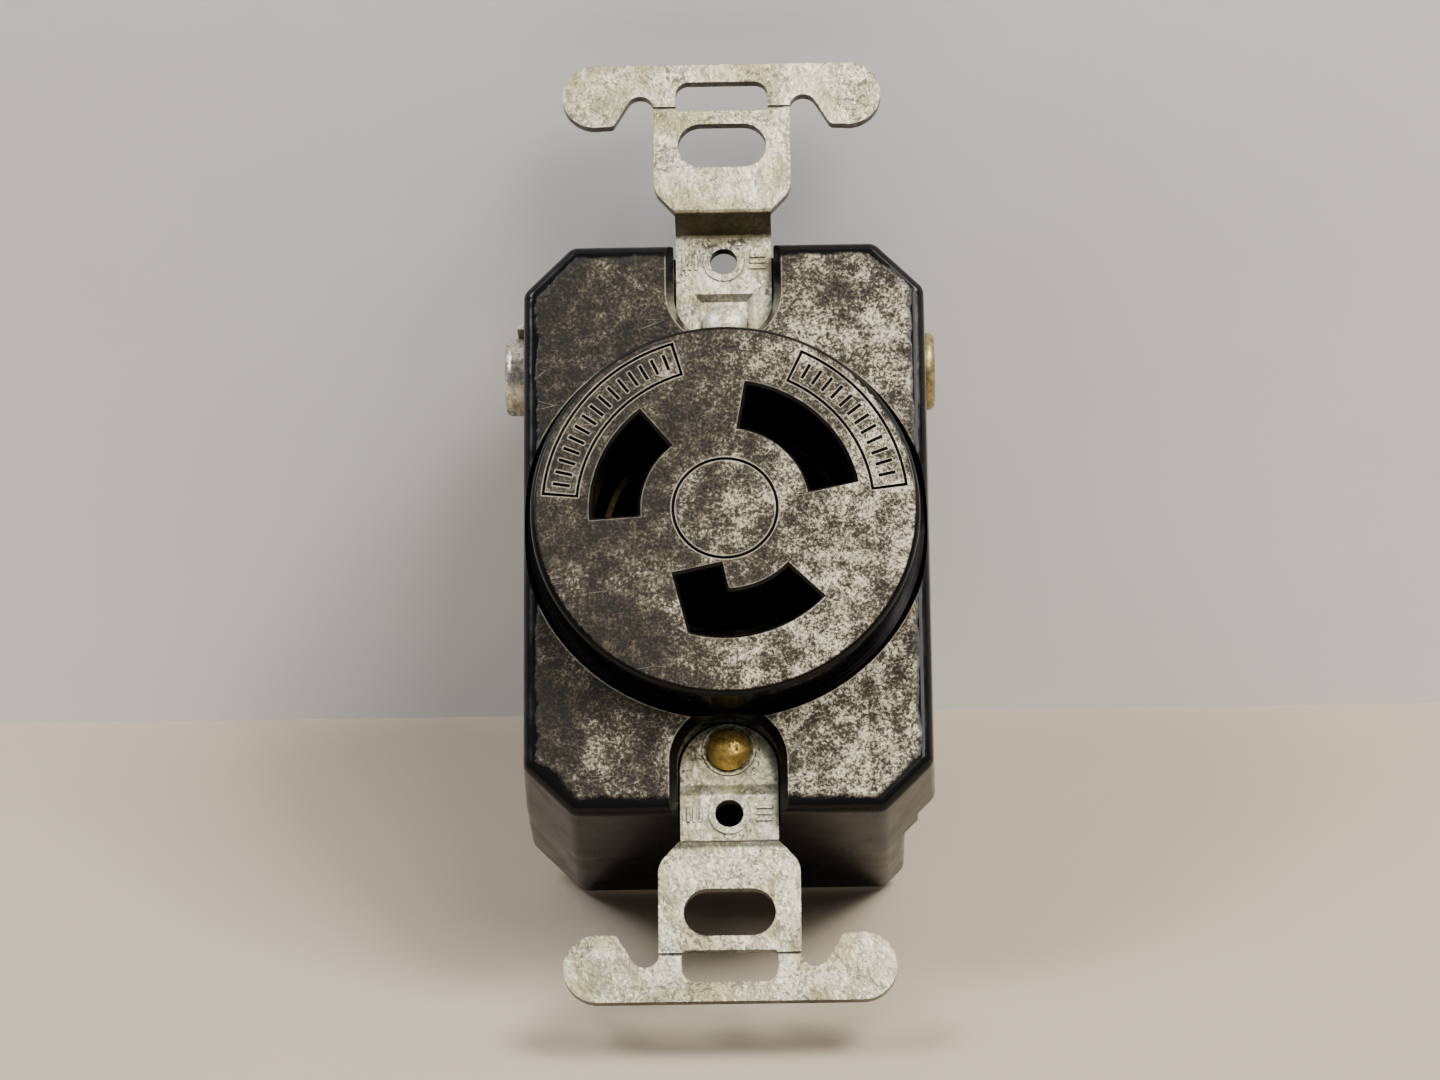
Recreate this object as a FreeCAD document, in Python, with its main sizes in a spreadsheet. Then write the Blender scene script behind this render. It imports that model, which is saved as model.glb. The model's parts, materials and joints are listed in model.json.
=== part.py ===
import FreeCAD
import Part
import os
import re
import Sketcher
from math import atan2

# A single locking receptacle for a wall box: a two-piece moulded housing on two riveted mounting straps,
# with three spring contacts, their terminal plates and three clamping terminal screws.
# X runs to the viewer's right, Y into the wall and Z up. The origin is on the wall plane, which the backs
# of the strap ears touch, midway between the two mounting slots.

VECTOR = FreeCAD.Vector
OUT = "parts"

# Driving dimensions in millimetres and degrees: name, value, what it is.
SIZES = [
    ("disc_radius", 20.0, "round face of the cover"),
    ("disc_front", 5.3, "face of the disc ahead of the wall plane"),
    ("disc_edge", 0.7, "rounding of the disc's rim"),
    ("shoulder_front", 0.6, "flat shoulders ahead of the wall plane"),
    ("moat_radius", 21.2, "outer radius of the sunk ring at its mouth"),
    ("moat_foot", 20.5, "outer radius of the sunk ring at its floor"),
    ("moat_floor", 0.5, "depth of the sunk ring behind the wall plane"),
    ("housing_width", 42.6, "both housing halves"),
    ("housing_height", 62.7, "both housing halves"),
    ("corner_cut", 5.3, "cut across each corner of the housing"),
    ("corner_round", 1.5, "rounding down the corner edges"),
    ("front_round", 1.2, "rounding round the shoulders"),
    ("back_round", 1.1, "rounding round the back"),
    ("draft", 1.6, "slope of the cover's side walls in degrees"),
    ("seam", 14.3, "where the two halves meet"),
    ("housing_back", 28.9, "back of the rear half"),
    ("slot_inner", 8.95, "inner radius of the blade slots"),
    ("slot_outer", 13.7, "outer radius of the blade slots"),
    ("slot_leadin", 0.3, "chamfer round the blade slots"),
    ("hot_start", 12.0, "start angle of the long slot"),
    ("hot_end", 80.0, "end angle of the long slot"),
    ("neutral_start", 129.5, "start angle of the short slot"),
    ("neutral_end", 183.5, "end angle of the short slot"),
    ("ground_start", 254.5, "start angle of the hooked slot"),
    ("ground_end", 315.5, "end angle of the hooked slot"),
    ("ground_heel", 270.5, "angle where the hook's inner side meets the slot"),
    ("heel_round", 0.6, "rounding where the hook's inner side meets the slot"),
    ("hook_left_x", 5.2, "outer corner of the hook, left of centre"),
    ("hook_left_z", 7.1, "outer corner of the hook, below centre"),
    ("hook_tip_x", 0.55, "inner corner of the hook, left of centre"),
    ("hook_tip_z", 6.1, "inner corner of the hook, below centre"),
    ("chamber_inner", 8.6, "inner radius of the contact chambers"),
    ("chamber_outer", 14.2, "outer radius of the contact chambers"),
    ("chamber_front", 1.5, "front wall of the chambers behind the wall plane"),
    ("chamber_floor", 20.0, "floor of the chambers behind the wall plane"),
    ("chamber_spare", 3.0, "degrees of chamber past each end of a contact"),
    ("hook_chamber_inner", 5.8, "inner radius of the chamber behind the hook"),
    ("hook_chamber_start", 245.5, "start angle of the chamber behind the hook"),
    ("hook_chamber_end", 274.0, "end angle of the chamber behind the hook"),
    ("slot_runout", 1.0, "how far the slots run into their chambers"),
    ("chamber_lap", 0.2, "overlap of the chamber behind the hook with the one beside it"),
    ("overrun", 1.0, "how far a cut runs past what it takes away"),
    ("ring_radius", 5.35, "fine ring in the middle of the disc"),
    ("ring_width", 0.34, "width of the fine ring"),
    ("ring_depth", 0.25, "depth of the fine ring"),
    ("panel_inner", 15.1, "inner radius of the curved panels"),
    ("panel_outer", 18.9, "outer radius of the curved panels"),
    ("line_width", 0.32, "width of the engraved lines round the panels"),
    ("line_angle", 1.1, "width of the panels' engraved end lines in degrees"),
    ("line_depth", 0.3, "depth of the engraved lines"),
    ("left_panel_start", 106.0, "left panel"),
    ("left_panel_end", 175.0, "left panel"),
    ("right_panel_start", 6.4, "right panel"),
    ("right_panel_end", 65.0, "right panel"),
    ("bar_inner", 16.1, "inner end of the engraved bars in the panels"),
    ("bar_outer", 17.9, "outer end of the engraved bars in the panels"),
    ("bar_width", 0.36, "width of each engraved bar"),
    ("bar_depth", 0.28, "depth of each engraved bar"),
    ("left_bar_start", 110.5, "first bar of the left panel"),
    ("left_bar_step", 4.3, "angle between the left panel's bars"),
    ("right_bar_start", 11.7, "first bar of the right panel"),
    ("right_bar_step", 4.4, "angle between the right panel's bars"),
    ("pocket_width", 10.5, "strap pockets in the cover"),
    ("pocket_bevel", 0.8, "width of the bevel round the strap pockets"),
    ("pocket_bevel_depth", 1.3, "depth of the bevel round the strap pockets"),
    ("pocket_round_z", 25.6, "centre of the pocket's round inner end"),
    ("pocket_floor", 4.35, "floor of the strap pockets"),
    ("pad_seat_floor", 4.97, "deeper floor under the strap's rivet pad"),
    ("pad_seat_width", 10.5, "deeper floor under the strap's rivet pad"),
    ("pad_seat_end", 28.6, "outer end of the deeper floor"),
    ("plate_screw_z", 30.1625, "cover plate screw holes from the centre"),
    ("plate_hole", 1.45, "radius of the tapped cover plate holes"),
    ("channel_width", 4.4, "screw channels in the ends of the cover"),
    ("channel_inner_z", 27.9, "inner end of the screw channels"),
    ("channel_floor", 12.0, "depth of the screw channels"),
    ("rivet_z", 23.2, "housing rivets from the centre"),
    ("rivet_shank", 1.6, "radius of the housing rivets"),
    ("rivet_hole", 1.68, "radius of the rivet holes"),
    ("rivet_head", 2.25, "radius of the rivet heads"),
    ("rivet_dome", 1.25, "height of the rivet heads"),
    ("rivet_rim", 0.35, "straight rim under the domes"),
    ("rivet_roll", 2.4, "radius of the rolled rivet ends"),
    ("rivet_roll_bevel", 0.5, "bevel of the rolled rivet ends"),
    ("rivet_end", 28.7, "rolled ends behind the wall plane"),
    ("strap_sheet", 1.3, "thickness of the mounting straps"),
    ("ear_top", 50.9, "ends of the straps from the centre"),
    ("lobe_x", 13.3, "centre of each round ear"),
    ("lobe_z", 47.4, "centre of each round ear"),
    ("lobe_radius", 3.5, "radius of each round ear"),
    ("lobe_end", -100.0, "angle where the ear's round end stops"),
    ("ear_corner_x", 11.45, "blunt inner corner of each ear"),
    ("ear_corner_z", 43.99, "blunt inner corner of each ear"),
    ("ear_corner_round", 0.6, "rounding of the ear's inner corner"),
    ("notch_x", 8.6, "centre of the round notch beside each ear"),
    ("notch_z", 45.9, "centre of the round notch beside each ear"),
    ("notch_radius", 1.45, "round notch beside each ear"),
    ("notch_start", 31.3, "angle where the ear's inner side runs into the notch"),
    ("wide_half", 7.2, "half width of the strap round the mounting slot"),
    ("wide_end", 36.6, "where the wide part starts to narrow"),
    ("wide_round", 2.4, "rounding where the wide part starts to narrow"),
    ("narrow_half", 5.03, "half width of the strap's tongue"),
    ("step_outer", 34.2, "outer end of the step bend"),
    ("step_inner", 33.1, "inner end of the step bend"),
    ("bend_lag", 0.35, "how much further out the sheet bends on its back"),
    ("bend_round", 0.45, "rounding of the step bend"),
    ("tapped_front", 3.05, "front of the tapped part of the strap"),
    ("crease_outer", 28.2, "outer end of the crease"),
    ("crease_inner", 26.9, "inner end of the crease"),
    ("crease_round", 0.8, "rounding of the crease"),
    ("crease_drop", 0.6, "depth of the rivet pad behind the tapped part"),
    ("tongue_tip", 20.45, "inner end of the strap"),
    ("collar_radius", 2.15, "thin raised collar round each tapped hole"),
    ("collar_height", 0.16, "thin raised collar round each tapped hole"),
    ("mark_x", 3.55, "centre of the plain stamped marks from the middle"),
    ("mark_length", 1.7, "length of each bar of the stamped marks"),
    ("mark_width", 0.3, "width of each bar of the stamped marks"),
    ("mark_pitch", 0.65, "spacing of the bars of the stamped marks"),
    ("mark_height", 0.16, "height of the stamped marks"),
    ("rivet_ring", 2.75, "thin raised ring round the lower rivet"),
    ("rivet_ring_width", 0.25, "thin raised ring round the lower rivet"),
    ("recess_half", 3.1, "half width of the sunk rivet seat"),
    ("recess_outer", 26.6, "outer end of the sunk rivet seat"),
    ("boss_inset", 1.2, "boss behind the rivet seat, from the strap's inner end"),
    ("recess_slope", 50.0, "slope of the sunk rivet seat's sides in degrees"),
    ("mount_slot_z", 41.67, "mounting slots from the centre"),
    ("mount_slot_half", 4.65, "half length of the mounting slots"),
    ("mount_slot_radius", 2.45, "half height of the mounting slots"),
    ("break_half", 4.85, "half length of the break-off slot"),
    ("break_inner", 45.6, "break-off slot"),
    ("break_outer", 48.9, "break-off slot"),
    ("break_round", 1.4, "outer corners of the break-off slot"),
    ("break_foot_round", 0.5, "inner corners of the break-off slot"),
    ("score_z", 46.0, "score line that the ears snap off along"),
    ("score_width", 0.3, "score line"),
    ("score_depth", 0.25, "score line"),
    ("leaf_inner", 9.5, "inner radius of the contacts"),
    ("leaf_outer", 13.1, "outer radius of the contacts"),
    ("leaf_sheet", 0.6, "thickness of the contact leaves"),
    ("leaf_front", 6.5, "front of the leaves behind the wall plane"),
    ("contact_lead", 12.0, "degrees of contact before the start of its slot"),
    ("contact_tail", 2.0, "degrees of slot past the end of its contact"),
    ("leaf_overrun", 5.0, "degrees that the gap between two leaves runs past them"),
    ("base_front", 19.2, "front of the contact bases"),
    ("foot_back", 21.0, "back of the terminal plates' feet"),
    ("foot_room", 0.15, "room round the feet in the housing"),
    ("line_foot_shoulder", 15.6, "outer end of a line foot's sloping side"),
    ("line_foot_left", 5.2, "inner end of a line foot's sloping side"),
    ("line_foot_top", 10.4, "upper end of a line foot's inner edge"),
    ("line_foot_heel", 6.1, "lower end of a line foot's inner edge"),
    ("line_foot_toe", 10.2, "outer end of a line foot's lower edge"),
    ("line_foot_low", 5.9, "lower edge of a line foot"),
    ("ground_foot_left", 2.6, "left end of the ground foot from the middle"),
    ("ground_foot_bevel", 0.9, "bevel under the ground foot's left end"),
    ("ground_foot_notch", 20.4, "upper edge of the ground foot's left end below the centre"),
    ("ground_foot_inner", 0.7, "left side of the ground foot's tall part"),
    ("ground_foot_top", 8.8, "top of the ground foot's tall part below the centre"),
    ("ground_foot_outer", 5.3, "right side of the ground foot's tall part"),
    ("flange_sheet", 1.2, "thickness of the threaded flanges"),
    ("flange_outer", 18.9, "outer face of the line flanges from the centre"),
    ("ground_flange_outer", 15.7, "outer face of the ground flange"),
    ("flange_front", 12.6, "front end of the flanges"),
    ("screw_y", 16.8, "terminal screws behind the wall plane"),
    ("screw_z", 22.6, "terminal screws from the centre"),
    ("flange_half", 4.4, "half height of the flanges"),
    ("screw_shank", 2.05, "radius of the screw shanks"),
    ("screw_hole", 2.1, "radius of the threaded holes"),
    ("clamp_hole", 2.35, "radius of the holes in the clamp plates"),
    ("clamp_half_y", 4.3, "half size of the clamp plates"),
    ("clamp_half_z", 4.95, "half size of the clamp plates"),
    ("clamp_sheet", 1.0, "thickness of the clamp plates"),
    ("clamp_lip", 0.9, "turned-up lip of the clamp plates"),
    ("lip_sheet", 0.7, "thickness of the lip"),
    ("lip_half", 3.44, "half width of the lip"),
    ("neutral_gap", 1.5, "wire gap under the left clamp plate"),
    ("hot_gap", 0.1, "wire gap under the right clamp plate"),
    ("ground_gap", 0.6, "wire gap under the ground clamp plate"),
    ("head_radius", 4.15, "terminal screw heads"),
    ("head_height", 2.2, "terminal screw heads"),
    ("head_round", 0.8, "rounding of the screw heads"),
    ("head_play", 0.04, "play between a screw head and its clamp plate"),
    ("drive_width", 1.2, "driver slots"),
    ("drive_depth", 1.1, "driver slots"),
    ("shank_length", 7.4, "terminal screw shanks"),
    ("bore_length", 7.2, "room behind the upper flanges for the screw's end"),
    ("hex_across", 7.1, "hexagon of the ground screw"),
    ("hex_flange", 0.6, "round flange under the hexagon"),
    ("bore_room", 0.3, "room round the screws' ends"),
    ("window_gap", 0.35, "room round the clamp plates"),
    ("window_top", 0.9, "more room over the upper clamp plates"),
    ("part_gap", 0.05, "room round parts that sit in the housing"),
    ("wire_groove", 1.55, "radius of the wire grooves"),
    ("wire_spread", 3.1, "wire grooves either side of the screw"),
    ("recess_x", 18.1, "side of the ground recess"),
    ("recess_top", 13.3, "upper end of the ground recess below the centre"),
    ("recess_round", 3.2, "curve at the upper end of the ground recess"),
    ("contact_rivet_x", 8.0, "line contact rivets from the centre"),
    ("contact_rivet_z", 8.0, "line contact rivets above the centre"),
    ("ground_rivet_x", 3.0, "ground contact rivet"),
    ("ground_rivet_z", 10.9, "ground contact rivet below the centre"),
    ("small_rivet", 0.8, "radius of the contact rivets"),
    ("small_rivet_head", 1.12, "radius of the contact rivets' heads"),
    ("small_rivet_cap", 0.5, "height of the contact rivets' heads"),
    ("small_rivet_room", 0.3, "room round the contact rivets' heads"),
    ("small_hole", 0.84, "radius of the contact rivet holes"),
    ("strip_sheet", 0.8, "thickness of the bond strip"),
    ("strip_front", 26.9, "floor of the bond strip's groove"),
    ("strip_half", 2.9, "half width of the bond strip"),
    ("strip_end", 26.3, "ends of the bond strip from the centre"),
]
NAMES = re.compile(r"\b(" + "|".join(sorted((row[0] for row in SIZES), key=len, reverse=True)) + r")\b")

doc = FreeCAD.newDocument("LockingReceptacle")


def make_sheet():
    """The sheet of driving dimensions, one alias a row."""
    sheet = doc.addObject("Spreadsheet::Sheet", "Sizes")
    for row, (name, value, note) in enumerate(SIZES, start=1):
        sheet.set(f"A{row}", note)
        sheet.set(f"B{row}", str(value))
        sheet.setAlias(f"B{row}", name)
    doc.recompute()
    return sheet


def bound(text):
    """A formula in size names, as an expression that reads the sheet."""
    return NAMES.sub(r"Sizes.\1", str(text))


def number(owner, text):
    """What a formula comes to now."""
    return float(owner.evalExpression(bound(text)))


# ---- sketches and features -------------------------------------------------------------------------------

def new_body(label):
    """An empty body whose label is its sub-part's name."""
    body = doc.addObject("PartDesign::Body", label)
    body.Label = label
    return body


def sketch_on(body, role, offset):
    """An empty sketch on one of the body's own planes, moved along the plane's normal."""
    plane = next(item for item in body.Origin.OriginFeatures if item.Role == role)
    sketch = body.newObject("Sketcher::SketchObject", body.Name + "_sketch")
    sketch.AttachmentSupport = [(plane, "")]
    sketch.MapMode = "FlatFace"
    sketch.setExpression("AttachmentOffset.Base.z", bound(offset))
    return sketch


def face_sketch(body, depth):
    """A sketch facing the viewer (its x is X, its y is Z) at a depth behind the wall plane."""
    return sketch_on(body, "XZ_Plane", f"-({depth})")


def side_sketch(body, across):
    """A sketch seen from the right (its x is Y, its y is Z) at a distance across."""
    return sketch_on(body, "YZ_Plane", across)


def pin(sketch, kind, edge, point, text):
    """Hold one coordinate of a point to a formula."""
    index = sketch.addConstraint(Sketcher.Constraint(kind, -1, 1, edge, point, number(sketch, text)))
    sketch.setExpression(f"Constraints[{index}]", bound(text))


def outline(sketch, corners):
    """A closed outline. A corner is (x, y) for a straight run to the next one, or
    (x, y, centre x, centre y, turn) for an arc to the next one, turning left (1) or right (-1)."""
    first = sketch.GeometryCount
    points = [VECTOR(number(sketch, c[0]), number(sketch, c[1]), 0) for c in corners]
    ends = []
    for index, corner in enumerate(corners):
        here, there = points[index], points[(index + 1) % len(points)]
        if len(corner) == 2:
            sketch.addGeometry(Part.LineSegment(here, there), False)
            ends.append((1, 2))
            continue
        centre = VECTOR(number(sketch, corner[2]), number(sketch, corner[3]), 0)
        low, high = (here, there) if corner[4] > 0 else (there, here)
        angles = [atan2(p.y - centre.y, p.x - centre.x) for p in (low, high)]
        circle = Part.Circle(centre, VECTOR(0, 0, 1), (here - centre).Length)
        sketch.addGeometry(Part.ArcOfCircle(circle, *angles), False)
        ends.append((1, 2) if corner[4] > 0 else (2, 1))
    for index, corner in enumerate(corners):
        after = (index + 1) % len(corners)
        sketch.addConstraint(Sketcher.Constraint(
            "Coincident", first + index, ends[index][1], first + after, ends[after][0]))
        pin(sketch, "DistanceX", first + index, ends[index][0], corner[0])
        pin(sketch, "DistanceY", first + index, ends[index][0], corner[1])
        if len(corner) > 2:
            chord = points[after] - points[index]
            way = 0 if abs(chord.y) > abs(chord.x) else 1
            pin(sketch, ("DistanceX", "DistanceY")[way], first + index, 3, corner[2 + way])
    return sketch


def rectangle(sketch, left, right, low, high):
    """A rectangle between two distances each way."""
    return outline(sketch, [(left, low), (right, low), (right, high), (left, high)])


def circle(sketch, x, y, radius):
    """A circle held to its centre and radius."""
    edge = sketch.addGeometry(Part.Circle(VECTOR(number(sketch, x), number(sketch, y), 0), VECTOR(0, 0, 1),
                                          number(sketch, radius)), False)
    pin(sketch, "DistanceX", edge, 3, x)
    pin(sketch, "DistanceY", edge, 3, y)
    index = sketch.addConstraint(Sketcher.Constraint("Radius", edge, number(sketch, radius)))
    sketch.setExpression(f"Constraints[{index}]", bound(radius))
    return sketch


def sector(sketch, inner, outer, start, end):
    """A curved slot about the middle of the face, from one angle to another."""
    corners = [
        (f"{outer} * cos({start})", f"{outer} * sin({start})", "0", "0", 1),
        (f"{outer} * cos({end})", f"{outer} * sin({end})"),
        (f"{inner} * cos({end})", f"{inner} * sin({end})", "0", "0", -1),
        (f"{inner} * cos({start})", f"{inner} * sin({start})"),
    ]
    return outline(sketch, corners)


def pad(body, sketch, length, backwards=False, midplane=False, taper=None):
    """Material from a sketch, along its normal."""
    feature = body.newObject("PartDesign::Pad", body.Name + "_pad")
    feature.Profile = sketch
    feature.setExpression("Length", bound(length))
    feature.Reversed = backwards
    feature.Midplane = midplane
    if taper:
        feature.setExpression("TaperAngle", bound(taper))
    doc.recompute()
    return feature


def cut(body, sketch, length=None, backwards=False, taper=None):
    """Material taken away behind a sketch, against its normal; no length goes right through both ways."""
    before = body.Tip.Shape.Volume
    feature = body.newObject("PartDesign::Pocket", body.Name + "_pocket")
    feature.Profile = sketch
    feature.Reversed = backwards
    if length is None:
        feature.Type = "ThroughAll"
        feature.Midplane = True
    else:
        feature.setExpression("Length", bound(length))
    if taper:
        feature.setExpression("TaperAngle", bound(taper))
    doc.recompute()
    if not feature.Shape.Volume < before - 1e-6:
        raise RuntimeError(f"{feature.Label} took nothing away")
    return feature


def dress(body, kind, edges, size):
    """A Fillet or Chamfer on named edges of the body as it stands."""
    base = body.Tip
    feature = body.newObject("PartDesign::" + kind, body.Name + "_" + kind.lower())
    feature.Base = (base, edges)
    feature.setExpression("Radius" if kind == "Fillet" else "Size", bound(size))
    doc.recompute()
    return feature


def edges_where(body, test):
    """Names of the body's edges that pass a test of their box."""
    edges = body.Tip.Shape.Edges
    return [f"Edge{i}" for i, edge in enumerate(edges, start=1) if test(edge.BoundBox)]


def flat_at_depth(depth, reach=1e9):
    """A test for edges that lie wholly at one depth, within a reach of the middle of the face."""
    def test(box):
        level = abs(box.YMin - depth) < 0.01 and abs(box.YMax - depth) < 0.01
        return level and max(abs(box.XMin), abs(box.XMax), abs(box.ZMin), abs(box.ZMax)) < reach
    return test


def corners_at(x, z):
    """A test for edges along Y that stand at (x, z), on either side of the middle."""
    def test(box):
        upright = box.XLength < 0.01 and box.ZLength < 0.01 and box.YLength > 0.1
        return upright and abs(abs(box.XMin) - x) < 0.03 and abs(abs(box.ZMin) - z) < 0.03
    return test


def size(name):
    """A driving dimension as it stands in the sheet."""
    return float(getattr(doc.Sizes, name))


# ---- housing ---------------------------------------------------------------------------------------------

def housing_outline(sketch):
    """The housing's rectangle with its four corners cut off."""
    half_x, half_z, corner = "housing_width / 2", "housing_height / 2", "corner_cut"
    corners = []
    for sx, sz in ((1, 1), (-1, 1), (-1, -1), (1, -1)):
        side = (f"{sx} * {half_x}", f"{sz} * ({half_z} - {corner})")
        end = (f"{sx} * ({half_x} - {corner})", f"{sz} * {half_z}")
        corners += [side, end] if sx * sz > 0 else [end, side]
    return outline(sketch, corners)


def round_corner_edges(body):
    """Soften the eight edges that run along the depth of a housing half."""
    def test(box):
        return box.YLength > 10 and box.XLength < 1.5 and box.ZLength < 1.5
    dress(body, "Fillet", edges_where(body, test), "corner_round")


def terminals():
    """The three terminals: side, up or down, flange's outer face, wire gap."""
    return [(-1, 1, "flange_outer", "neutral_gap"), (1, 1, "flange_outer", "hot_gap"),
            (1, -1, "ground_flange_outer", "ground_gap")]


def contact_ends():
    """Start and end angles of the three contacts, in formulas."""
    return [(f"{name}_start - contact_lead", f"{name}_end - contact_tail")
            for name in ("neutral", "hot", "ground")]


def cut_terminal_bays(body, towards_front):
    """Bays for flange and clamp plate, cut from the seam, open at the housing's side beside the screw."""
    for side, up, outer, _ in terminals():
        low, high = f"{up} * screw_z - flange_half - part_gap", f"{up} * screw_z + flange_half + part_gap"
        flange = rectangle(face_sketch(body, "seam"), f"{side} * ({outer} - flange_sheet - part_gap)",
                           f"{side} * ({outer} + part_gap)", low, high)
        reach = "seam - flange_front + part_gap" if towards_front else "foot_back - seam"
        cut(body, flange, reach, backwards=towards_front)
        room = "clamp_half_z + window_gap"
        headroom = "window_top" if up > 0 else "0"
        bay = rectangle(face_sketch(body, "seam"), f"{side} * ({outer} - part_gap)",
                        f"{side} * housing_width", f"{up} * screw_z - ({room})",
                        f"{up} * screw_z + {room} + {headroom}")
        reach = "screw_y - clamp_half_y - window_gap"
        reach = f"seam - ({reach})" if towards_front else "screw_y + clamp_half_y + window_gap - seam"
        cut(body, bay, reach, backwards=towards_front)


def cut_chambers(body, towards_front):
    """The three curved chambers that the contacts stand in, and the room behind the hook."""
    reach = "seam - chamber_front" if towards_front else "chamber_floor - seam"
    for start, end in contact_ends():
        room = sector(face_sketch(body, "seam"), "chamber_inner", "chamber_outer",
                      f"({start} - chamber_spare)", f"({end} + chamber_spare)")
        cut(body, room, reach, backwards=towards_front)
    hook = sector(face_sketch(body, "seam"), "hook_chamber_inner", "(chamber_inner + chamber_lap)",
                  "hook_chamber_start", "hook_chamber_end")
    cut(body, hook, reach, backwards=towards_front)


def engrave_bars(body, side, count):
    """A row of plain engraved bars round one side's panel."""
    start, step = f"{side}_bar_start", f"{side}_bar_step"

    def corner(radius, across):
        return (f"{radius} * cos({start}) - ({across}) * sin({start})",
                f"{radius} * sin({start}) + ({across}) * cos({start})")
    half = "bar_width / 2"
    corners = [corner("bar_inner", f"-{half}"), corner("bar_outer", f"-{half}"),
               corner("bar_outer", half), corner("bar_inner", half)]
    bar = cut(body, outline(face_sketch(body, "-disc_front"), corners), "bar_depth")
    row = body.newObject("PartDesign::PolarPattern", body.Name + "_bars")
    row.Originals = [bar]
    axis = next(item for item in body.Origin.OriginFeatures if item.Role == "Y_Axis")
    row.Axis = (axis, [""])
    row.Reversed = True
    row.setExpression("Angle", bound(f"{step} * {count - 1}"))
    row.Occurrences = count
    body.Tip = row
    doc.recompute()


def engrave_disc(body):
    """A fine ring in the middle and a framed row of bars at each side."""
    lines = face_sketch(body, "-disc_front")
    for name in ("left_panel", "right_panel"):
        sector(lines, "panel_inner", "panel_outer", f"{name}_start", f"{name}_end")
        sector(lines, "(panel_inner + line_width)", "(panel_outer - line_width)",
               f"({name}_start + line_angle)", f"({name}_end - line_angle)")
    cut(body, lines, "line_depth")
    ring = face_sketch(body, "-disc_front")
    circle(ring, "0", "0", "ring_radius + ring_width / 2")
    cut(body, circle(ring, "0", "0", "ring_radius - ring_width / 2"), "ring_depth")
    engrave_bars(body, "left", count=15)
    engrave_bars(body, "right", count=12)


def hooked_slot(sketch):
    """The ground slot: a curved slot whose left end hooks towards the middle."""
    corners = [
        ("slot_outer * cos(ground_start)", "slot_outer * sin(ground_start)", "0", "0", 1),
        ("slot_outer * cos(ground_end)", "slot_outer * sin(ground_end)"),
        ("slot_inner * cos(ground_end)", "slot_inner * sin(ground_end)", "0", "0", -1),
        ("slot_inner * cos(ground_heel)", "slot_inner * sin(ground_heel)"),
        ("-hook_tip_x", "-hook_tip_z"),
        ("-hook_left_x", "-hook_left_z"),
    ]
    return outline(sketch, corners)


def make_front_cover():
    """The front half: shoulders, sunk ring, strap pockets and the round face with its three slots."""
    body = new_body("front_cover")
    pad(body, housing_outline(face_sketch(body, "seam")), "seam + shoulder_front", taper="-draft")
    round_corner_edges(body)
    dress(body, "Fillet", edges_where(body, flat_at_depth(-size("shoulder_front"))), "front_round")
    moat = body.newObject("PartDesign::Groove", "front_cover_moat")
    moat.Profile = outline(side_sketch(body, "0"), [
        ("-shoulder_front - overrun", "0"), ("moat_floor", "0"), ("moat_floor", "moat_foot"),
        ("-shoulder_front", "moat_radius"), ("-shoulder_front - overrun", "moat_radius")])
    moat.ReferenceAxis = (moat.Profile[0], ["H_Axis"])
    moat.Angle = 360
    doc.recompute()
    for up in (1, -1):
        cut_strap_pocket(body, up)
    pad(body, circle(face_sketch(body, "pad_seat_floor"), "0", "0", "disc_radius"),
        "pad_seat_floor + disc_front")
    dress(body, "Fillet", edges_where(body, flat_at_depth(-size("disc_front"))), "disc_edge")
    for name in ("neutral", "hot"):
        slot = sector(face_sketch(body, "-disc_front"), "slot_inner", "slot_outer",
                      f"{name}_start", f"{name}_end")
        cut(body, slot, "disc_front + chamber_front + slot_runout")
    cut(body, hooked_slot(face_sketch(body, "-disc_front")), "disc_front + chamber_front + slot_runout")
    heel_x = abs(number(body, "slot_inner * cos(ground_heel)"))
    heel_z = abs(number(body, "slot_inner * sin(ground_heel)"))
    dress(body, "Fillet", edges_where(body, corners_at(heel_x, heel_z)), "heel_round")
    edges = edges_where(body, flat_at_depth(-size("disc_front"), reach=size("panel_inner")))
    dress(body, "Chamfer", edges, "slot_leadin")
    engrave_disc(body)
    cut_chambers(body, True)
    cut_terminal_bays(body, True)
    holes = face_sketch(body, "seam")
    for up in (1, -1):
        circle(holes, "0", f"{up} * rivet_z", "rivet_hole")
    cut(body, holes)
    return body


def pocket_outline(body, up, half):
    """A strap pocket at the shoulders: open at the housing's end, round at its inner end."""
    return outline(face_sketch(body, "-shoulder_front"), [
        (f"-({half})", f"{up} * housing_height"), (half, f"{up} * housing_height"),
        (half, f"{up} * pocket_round_z", "0", f"{up} * pocket_round_z", -up),
        (f"-({half})", f"{up} * pocket_round_z")])


def cut_strap_pocket(body, up):
    """A bevelled pocket for a strap, a deeper seat under its rivet pad and a screw channel in the end."""
    bevel = pocket_outline(body, up, "pocket_width / 2 + pocket_bevel")
    cut(body, bevel, "pocket_bevel_depth", taper="-atan(pocket_bevel / pocket_bevel_depth)")
    cut(body, pocket_outline(body, up, "pocket_width / 2"), "pocket_floor + shoulder_front")
    seat = rectangle(face_sketch(body, "pocket_floor"), "-pad_seat_width / 2", "pad_seat_width / 2",
                     f"{up} * (disc_radius - overrun)", f"{up} * pad_seat_end")
    cut(body, seat, "pad_seat_floor - pocket_floor")
    channel = rectangle(face_sketch(body, "pocket_floor"), "-channel_width / 2", "channel_width / 2",
                        f"{up} * channel_inner_z", f"{up} * housing_height")
    cut(body, channel, "channel_floor - pocket_floor")


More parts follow.
